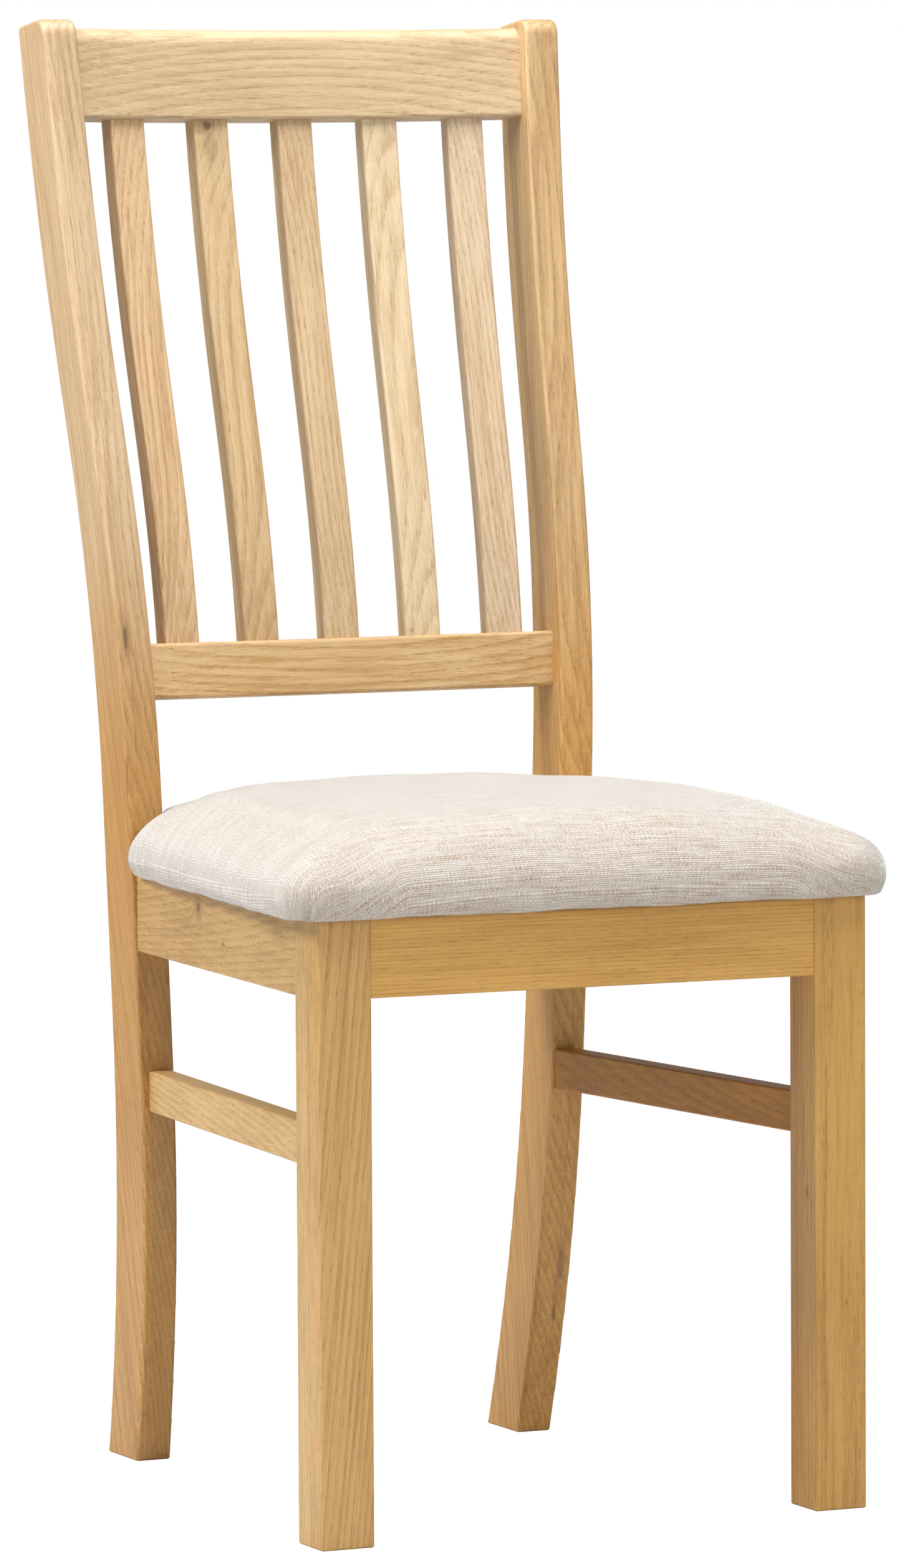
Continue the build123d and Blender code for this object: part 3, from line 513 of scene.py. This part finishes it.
blocks = block_wood()
zinc = steel("screw_steel", (0.64, 0.58, 0.44), 0.36)
wire = steel("staple_steel", (0.70, 0.70, 0.72), 0.3)
plain = {
    "corner_block_front_left": blocks,
    "corner_block_front_right": blocks,
    "corner_block_rear_left": blocks,
    "corner_block_rear_right": blocks,
    "front_apron_dowels": blocks,
    "rear_apron_dowels": blocks,
    "side_apron_dowels": blocks,
    "lower_rail_dowels": blocks,
    "top_rail_dowels": blocks,
    "corner_block_screws": zinc,
    "seat_fixing_screws": zinc,
    "cover_staples": wire,
    "dust_cloth_staples": wire,
    "seat_board": plywood(),
    "seat_foam": soft_fill("foam", (0.74, 0.66, 0.40), 900.0),
    "seat_wadding": soft_fill("wadding", (0.82, 0.82, 0.80), 500.0),
}
for name, material in plain.items():
    dress(name, material)


# ---- Meshes ----


def build_mesh(name, points, faces, weave=None):
    mesh = bpy.data.meshes.new(name)
    mesh.from_pydata([tuple(p) for p in points], [], faces)
    if weave is not None:
        layer = mesh.attributes.new("weave", "FLOAT_VECTOR", "POINT")
        layer.data.foreach_set("vector", np.asarray(weave, np.float32).ravel())
    mesh.validate()
    made = bpy.data.objects.new(name, mesh)
    bpy.context.scene.collection.objects.link(made)
    return made


def positions(mesh):
    found = np.zeros(len(mesh.vertices) * 3)
    mesh.vertices.foreach_get("co", found)
    return found.reshape(-1, 3)


def smooth_shading(mesh):
    for polygon in mesh.polygons:
        polygon.use_smooth = True


def settle(made):
    """Replaces an object's mesh by the one that its modifiers give, and removes them."""
    graph = bpy.context.evaluated_depsgraph_get()
    result = bpy.data.meshes.new_from_object(made.evaluated_get(graph))
    made.modifiers.clear()
    made.data = result


def grid_numbers(squares):
    return np.arange((squares + 1) ** 2).reshape(squares + 1, squares + 1)


def grid_faces(number, facing_up=True):
    """The squares of a grid, given its point numbers by column (with X) and row (with Y)."""
    size = len(number) - 1
    faces = []
    for i in range(size):
        for j in range(size):
            square = [number[i, j], number[i + 1, j], number[i + 1, j + 1], number[i, j + 1]]
            if not facing_up:
                square[1], square[3] = square[3], square[1]
            faces.append(tuple(int(k) for k in square))
    return faces


def patch(front, right, back, left, shares):
    """A grid of points filled in between four edges: the first number runs with X and the second with Y."""
    u, v = shares[:, None, None], shares[None, :, None]
    corners = (1 - u) * (1 - v) * front[0] + u * (1 - v) * front[-1]
    corners = corners + (1 - u) * v * back[0] + u * v * back[-1]
    sides = (1 - v) * front[:, None] + v * back[:, None] + (1 - u) * left[None] + u * right[None]
    return sides - corners


def run_length(grid, axis):
    """How far each grid point is along its row or column, measured over the surface from the middle one."""
    steps = np.linalg.norm(np.diff(grid, axis=axis), axis=2)
    total = np.cumsum(steps, axis=axis)
    total = np.concatenate([np.zeros_like(np.take(total, [0], axis=axis)), total], axis=axis)
    return total - np.take(total, [grid.shape[axis] // 2], axis=axis)


def edge_distance(grid, axis):
    """How far each grid point is from the nearer end of its row or column."""
    along = run_length(grid, axis)
    first, last = (np.take(along, [end], axis=axis) for end in (0, -1))
    return np.minimum(along - first, last - along)


# ---- Seat pad ----

pad_low, pad_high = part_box("seat_cover")
PAD_BOTTOM = pad_low.z
WIDEST_Z = PAD_BOTTOM + WIDEST
CROWN = pad_high.z


def rounded(corners):
    """A closed outline through corners given as (x, y, radius): its points, and the number of each corner's
    middle point."""
    points, middles = [], []
    for k, (x, y, radius) in enumerate(corners):
        corner = Vector((x, y))
        to_last = (Vector(corners[k - 1][:2]) - corner).normalized()
        to_next = (Vector(corners[(k + 1) % len(corners)][:2]) - corner).normalized()
        half = to_last.angle(to_next) / 2
        centre = corner + (to_last + to_next).normalized() * radius / math.sin(half)
        start = corner + to_last * radius / math.tan(half) - centre
        turn = math.copysign(math.pi - 2 * half, -to_last.cross(to_next))
        middles.append(len(points) + CORNER_STEPS // 2)
        for step in range(CORNER_STEPS + 1):
            angle = turn * step / CORNER_STEPS
            c, w = math.cos(angle), math.sin(angle)
            points.append((centre.x + c * start.x - w * start.y, centre.y + w * start.x + c * start.y))
    return np.array(points), middles


def spaced(points, shares):
    """Points at the given shares of a line's length."""
    steps = np.r_[0, np.cumsum(np.linalg.norm(np.diff(points, axis=0), axis=1))]
    return np.stack([np.interp(shares * steps[-1], steps, points[:, k]) for k in range(points.shape[1])], 1)


def stretch(points, first, last):
    """The part of a closed outline from one of its points to another."""
    return points[first:last + 1] if first < last else np.vstack([points[first:], points[:last + 1]])


def pad_sides(inset, shares):
    """The front, right, back and left edges of the pad's plan.

    The front and back edges run with X, and the sides with Y. Right is +X."""
    taper = (FRONT_HALF - EAR_HALF) / (EAR_Y - pad_low.y)
    lean = math.hypot(1, taper)
    front, ear = pad_low.y + inset, EAR_Y - inset
    wide = FRONT_HALF - inset * (taper + lean)
    narrow = EAR_HALF + inset * taper - inset * lean
    tongue, back = TONGUE_HALF - inset, pad_high.y - inset
    radii = (FRONT_CORNER, EAR_CORNER, TONGUE_CORNER)
    front_round, ear_round, back_round = (max(SHARPEST_CORNER, radius - inset) for radius in radii)
    outline, at = rounded([
        (-wide, front, front_round), (wide, front, front_round),
        (narrow, ear, ear_round), (tongue, ear, NOTCH_CORNER), (tongue, back, back_round),
        (-tongue, back, back_round), (-tongue, ear, NOTCH_CORNER), (-narrow, ear, ear_round),
    ])
    front_edge = spaced(stretch(outline, at[0], at[1]), shares)
    right_edge = spaced(stretch(outline, at[1], at[2]), shares)
    back_edge = spaced(stretch(outline, at[2], at[7]), 1 - shares[::-1])[::-1]
    left_edge = spaced(stretch(outline, at[7], at[0]), 1 - shares[::-1])[::-1]
    return front_edge, right_edge, back_edge, left_edge


def crowded_shares():
    """Places of the grid lines, from 0 to 1, closer together towards the ends."""
    even = np.linspace(0, 1, GRID + 1)
    return (1 - EDGE_CROWDING) * even + EDGE_CROWDING * (1 - np.cos(np.pi * even)) / 2


def shoulder(distance):
    """The rounding from the side (0) to the top (1)."""
    left = np.clip(1 - distance / SHOULDER, 0, 1)
    return (1 - left ** SHOULDER_SHAPE) ** (1 / SHOULDER_SHAPE)


def inflate(made, held, cap):
    """Blows the cloth up against its held points, and keeps every point within cap of where it started."""
    start = positions(made.data)
    group = made.vertex_groups.new(name="held")
    group.add([int(k) for k in held], 1.0, "REPLACE")
    cloth = made.modifiers.new("Cloth", "CLOTH")
    settings = cloth.settings
    settings.quality = 6
    settings.mass = 0.3
    settings.tension_stiffness = settings.compression_stiffness = 25
    settings.shear_stiffness = 12
    settings.bending_stiffness = 0.8
    settings.air_damping = 4
    settings.use_pressure = True
    settings.uniform_pressure_force = PRESSURE
    settings.vertex_group_mass = "held"
    settings.effector_weights.gravity = 0
    cloth.collision_settings.use_collision = False
    cloth.point_cache.frame_start, cloth.point_cache.frame_end = 1, CLOTH_FRAMES
    scene = bpy.context.scene
    for number in range(1, CLOTH_FRAMES + 1):
        scene.frame_set(number)
    settle(made)
    scene.frame_set(1)

    moved = positions(made.data) - start
    far = np.linalg.norm(moved, axis=1, keepdims=True)
    moved *= np.minimum(1, cap / np.maximum(far, 1e-9))
    n = GRID + 1
    top = moved[:n * n].reshape(n, n, 3)
    for _ in range(SMOOTHING):
        around = top[2:, 1:-1] + top[:-2, 1:-1] + top[1:-1, 2:] + top[1:-1, :-2]
        top[1:-1, 1:-1] += 0.2 * (around - 4 * top[1:-1, 1:-1])
    made.data.vertices.foreach_set("co", (start + moved).ravel())
    made.vertex_groups.clear()


def seat_cushion():
    """The open shell of the upholstered pad: a grid for the crown, and rings down its sides."""
    shares = crowded_shares()
    plan = patch(*pad_sides(0, shares), shares)
    crown = CROWN - SLACK - FALL_ACROSS * np.abs(plan[..., 0] / FALL_REACH) ** FALL_SHAPE
    crown -= FALL_ALONG * np.abs((plan[..., 1] - CROWN_Y) / FALL_REACH) ** FALL_SHAPE
    rise = (shoulder(edge_distance(plan, 0)) * shoulder(edge_distance(plan, 1))) ** CORNER_SHAPE
    top = np.dstack([plan, WIDEST_Z + (crown - WIDEST_Z) * rise])
    across, deep = run_length(top, 0), run_length(top, 1)

    n = GRID
    number = grid_numbers(n)
    rim = [(i, 0) for i in range(n)] + [(n, j) for j in range(n)]
    rim += [(i, n) for i in range(n, 0, -1)] + [(0, j) for j in range(n, 0, -1)]
    edge = np.array([plan[i, j] for i, j in rim])
    edge_weave = np.array([(across[i, j], deep[i, j]) for i, j in rim])
    along = np.roll(edge, -1, 0) - np.roll(edge, 1, 0)
    out = np.stack([along[:, 1], -along[:, 0]], 1)
    out /= np.linalg.norm(out, axis=1, keepdims=True)

    points = [top.reshape(-1, 3)]
    weave = [np.dstack([across, deep, 0 * deep]).reshape(-1, 3)]
    rings = [[int(number[i, j]) for i, j in rim]]
    for row in range(1, SIDE_ROWS + 1):
        angle = row / SIDE_ROWS * math.pi / 2
        inset, z = TUCK * (1 - math.cos(angle)), WIDEST_Z - WIDEST * math.sin(angle)
        points.append(np.column_stack([edge - out * inset, np.full(len(edge), z)]))
        run = (TUCK + WIDEST) / 2 * angle
        weave.append(np.column_stack([edge_weave + out * run, np.zeros(len(edge))]))
        first = number.size + (row - 1) * len(rim)
        rings.append(list(range(first, first + len(rim))))
    points, weave = np.vstack(points), np.vstack(weave)

    faces = grid_faces(number)
    for upper, lower in zip(rings, rings[1:]):
        for k in range(len(rim)):
            after = (k + 1) % len(rim)
            faces.append((upper[k], lower[k], lower[after], upper[after]))

    made = build_mesh("seat_cushion", points, faces, weave)
    cap = np.full(len(points), EDGE_CAP)
    cap[:rise.size] += CROWN_CAP * rise.ravel()
    inflate(made, rings[-1] + rings[-2], cap[:, None])
    return made, rings[-1], rim


def hang_edge(sides):
    """Lowers the rings of the sides in a wavy line, except at the back."""
    lowest = sides[-1]
    run = np.cumsum(np.linalg.norm(np.diff(lowest, axis=0, prepend=lowest[:1]), axis=1))
    dip = DIP * (1 + 0.6 * np.sin(run * 52) + 0.4 * np.sin(run * 117 + 1))
    dip *= np.clip((0.10 - lowest[:, 1]) / 0.04, 0, 1)
    sides[..., 2] -= np.linspace(0, 1, len(sides))[:, None] * dip


def close_underside(made, ring, rim):
    """Adds the flat underside within the lowest ring, as a grid that follows the top's."""
    n = GRID
    points = positions(made.data)
    hang_edge(points[(n + 1) ** 2:].reshape(-1, len(rim), 3))
    loop = points[ring][:, :2]
    front, right = loop[:n + 1], loop[n:2 * n + 1]
    back, left = loop[2 * n:3 * n + 1][::-1], np.vstack([loop[3 * n:], loop[:1]])[::-1]
    plan = patch(front, right, back, left, crowded_shares())
    weave = np.zeros(len(points) * 3, np.float32)
    made.data.attributes["weave"].data.foreach_get("vector", weave)

    number = np.zeros((n + 1, n + 1), int)
    for place, (i, j) in zip(ring, rim):
        number[i, j] = place
    inner = [(i, j) for i in range(1, n) for j in range(1, n)]
    for k, (i, j) in enumerate(inner):
        number[i, j] = len(points) + k
    added = np.array([(*plan[i, j], PAD_BOTTOM) for i, j in inner])
    faces = [tuple(p.vertices) for p in made.data.polygons] + grid_faces(number, facing_up=False)
    all_weave = np.vstack([weave.reshape(-1, 3), added])
    whole = build_mesh("seat_pad", np.vstack([points, added]), faces, all_weave)
    bpy.data.objects.remove(made)
    return whole


def bell(x, width):
    return np.exp(-((x / width) ** 2))


def fold_corners(p):
    """The cloth's folds at the two front corners, strongest at the lower edge."""
    side = np.sign(p[:, 0])
    x, y, z = np.abs(p[:, 0]), p[:, 1], p[:, 2]
    dx, dy = x - (FRONT_HALF - FRONT_CORNER - 0.002), y - (pad_low.y + FRONT_CORNER)
    reach = np.hypot(dx, dy)
    at_corner = (dx > -0.004) & (dy < 0.004) & (z > PAD_BOTTOM + 0.0004)
    arc = np.arctan2(dx, -dy) * reach
    fade = np.clip((PAD_BOTTOM + 0.024 - z) / 0.020, 0, 1) ** 1.3
    fold = sum(height * bell(arc - place, width) for height, place, width in CORNER_FOLDS)
    push = np.where(at_corner, fold * fade, 0) / np.maximum(reach, 1e-6)
    p[:, 0] += side * dx * push
    p[:, 1] += dy * push


def work_details(made):
    """Folds at the front corners, an uneven lower edge, and slight hollows on top."""
    subdivide = made.modifiers.new("Fine", "SUBSURF")
    subdivide.levels = subdivide.render_levels = 1
    settle(made)
    p = positions(made.data)
    x, z = np.abs(p[:, 0]), p[:, 2]
    fold_corners(p)

    lower_edge = np.clip((WIDEST_Z + 0.002 - z) / 0.012, 0, 1) * (z > PAD_BOTTOM + 0.0004)
    around = np.arctan2(p[:, 1] + 0.05, p[:, 0]) * 0.21
    wave = sum(share * np.sin(around * waves + start) for share, waves, start in EDGE_WAVES)
    p[:, 2] += EDGE_WAVE * wave * lower_edge
    hollow = np.sin(p[:, 0] * 31 + 1.0) * np.sin(p[:, 1] * 27 + 0.4)
    hollow += 0.6 * np.sin(p[:, 0] * 67 - p[:, 1] * 43)
    p[:, 2] += HOLLOW * hollow * (z > WIDEST_Z + 0.01)

    # Kept clear of the back posts
    behind = (x > TONGUE_HALF + 0.001) & (z > PAD_BOTTOM - 0.001)
    p[behind, 1] = np.minimum(p[behind, 1], EAR_Y + 0.0014)
    tongue = p[:, 1] > EAR_Y + 0.0015
    p[tongue, 0] = np.clip(p[tongue, 0], -TONGUE_HALF - 0.001, TONGUE_HALF + 0.001)
    p[:, 2] = np.maximum(p[:, 2], PAD_BOTTOM - 3 * DIP)
    made.data.vertices.foreach_set("co", p.ravel())
    made.data.update()
    smooth_shading(made.data)


pad = close_underside(*seat_cushion())
work_details(pad)
pad.data.materials.append(seat_fabric())
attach(pad, "root")
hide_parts("seat_cover", "seat_wadding", "seat_foam")


# ---- Dust cloth under the pad ----

dust_low, dust_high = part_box("dust_cloth")


def dust_cloth():
    """A thin sheet stapled under the seat, sagging a little in its middle and between its staples.

    Also gives its area."""
    shares = np.linspace(0, 1, DUST_STEPS + 1)
    plan = patch(*pad_sides(DUST_INSET, shares), shares)
    front, back = plan[..., 1].min(), plan[..., 1].max()
    plan[..., 0] *= dust_high.x / plan[..., 0].max()
    plan[..., 1] = dust_low.y + (plan[..., 1] - front) * (dust_high.y - dust_low.y) / (back - front)
    u, v = 2 * shares[:, None] - 1, 2 * shares[None, :] - 1
    sag = ((1 - u ** 4) * (1 - v ** 4)) ** 2
    ripple = DUST_RIPPLE * np.sin(plan[..., 0] * 150) * np.sin(plan[..., 1] * 150)
    z = (dust_low.z + dust_high.z) / 2 - DUST_SAG * sag + ripple * (1 - sag)
    points = np.dstack([plan, z]).reshape(-1, 3)
    made = build_mesh("seat_dust_cloth", points, grid_faces(grid_numbers(DUST_STEPS), facing_up=False))
    smooth_shading(made.data)
    return made, sum(p.area for p in made.data.polygons)


dust, dust_area = dust_cloth()
dust.data.materials.append(dust_fabric())
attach(dust, "root")
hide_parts("dust_cloth")


# ---- Floor, light and camera ----


def pale_floor():
    """A matt floor that catches shadows, and looks nearly white to the camera."""
    h = FLOOR_HALF
    made = build_mesh("floor", [(-h, -h, 0), (h, -h, 0), (h, h, 0), (-h, h, 0)], [(0, 1, 2, 3)])
    s = Shader("floor")
    s.finish(s.mix(s.noise(s.place(), 3.0, 2.0), (0.66, 0.65, 0.64), (0.70, 0.69, 0.68)), 0.9)
    glow = s.node("Emission", {"Color": (1, 1, 1, 1), "Strength": FLOOR_GLOW})
    seen = s.product(s.node("LightPath", output=0), FLOOR_GLOW_SHARE)
    s.put(s.output.inputs["Surface"], s.node("MixShader", {0: seen, 1: s.surface.outputs[0], 2: glow}))
    made.data.materials.append(s.material)
    return made


def studio_world():
    """Even white light all round, and a white background."""
    world = bpy.data.worlds.new("studio")
    bpy.context.scene.world = world
    world.use_nodes = True
    tree = world.node_tree
    tree.nodes.clear()
    choose = tree.nodes.new("ShaderNodeMixShader")
    for socket, strength in ((1, AMBIENT), (2, BACKDROP)):
        background = tree.nodes.new("ShaderNodeBackground")
        background.inputs[0].default_value = (1, 1, 1, 1)
        background.inputs[1].default_value = strength
        tree.links.new(background.outputs[0], choose.inputs[socket])
    path = tree.nodes.new("ShaderNodeLightPath")
    output = tree.nodes.new("ShaderNodeOutputWorld")
    tree.links.new(path.outputs["Is Camera Ray"], choose.inputs[0])
    tree.links.new(choose.outputs[0], output.inputs[0])


def softbox(name, place, aim, side, power):
    """A square area light, with its power in watts."""
    light = bpy.data.lights.new(name, "AREA")
    light.shape = "RECTANGLE"
    light.size = light.size_y = side
    light.energy = power
    made = bpy.data.objects.new(name, light)
    made.location = place
    made.rotation_euler = (Vector(aim) - Vector(place)).to_track_quat("-Z", "Y").to_euler()
    bpy.context.scene.collection.objects.link(made)


def aim_camera():
    azimuth, elevation, roll = (math.radians(v) for v in (VIEW_AZIMUTH, VIEW_ELEVATION, VIEW_ROLL))
    flat = math.cos(elevation)
    back = Vector((math.sin(azimuth) * flat, -math.cos(azimuth) * flat, math.sin(elevation)))
    right = Vector((math.cos(azimuth), math.sin(azimuth), 0))
    up = back.cross(right)
    c, w = math.cos(roll), math.sin(roll)
    turned = Matrix((c * right + w * up, c * up - w * right, back)).transposed()
    camera = bpy.data.cameras.new("camera")
    camera.lens = LENS
    camera.sensor_width = SENSOR_WIDTH
    made = bpy.data.objects.new("camera", camera)
    made.matrix_world = Matrix.Translation(VIEW_TARGET + back * VIEW_DISTANCE) @ turned.to_4x4()
    bpy.context.scene.collection.objects.link(made)
    bpy.context.scene.camera = made


floor = pale_floor()
studio_world()
softbox("key", (-2.4, 0.5, 2.2), (0, 0, 0.5), 0.8, 60)
softbox("overhead", (-0.2, -0.5, 3.1), (0, 0, 0.4), 2.2, 113)
softbox("front", (-0.4, -4.0, 1.9), (0, 0, 0.7), 1.6, 39)
aim_camera()
bpy.context.scene.view_settings.view_transform = "Standard"
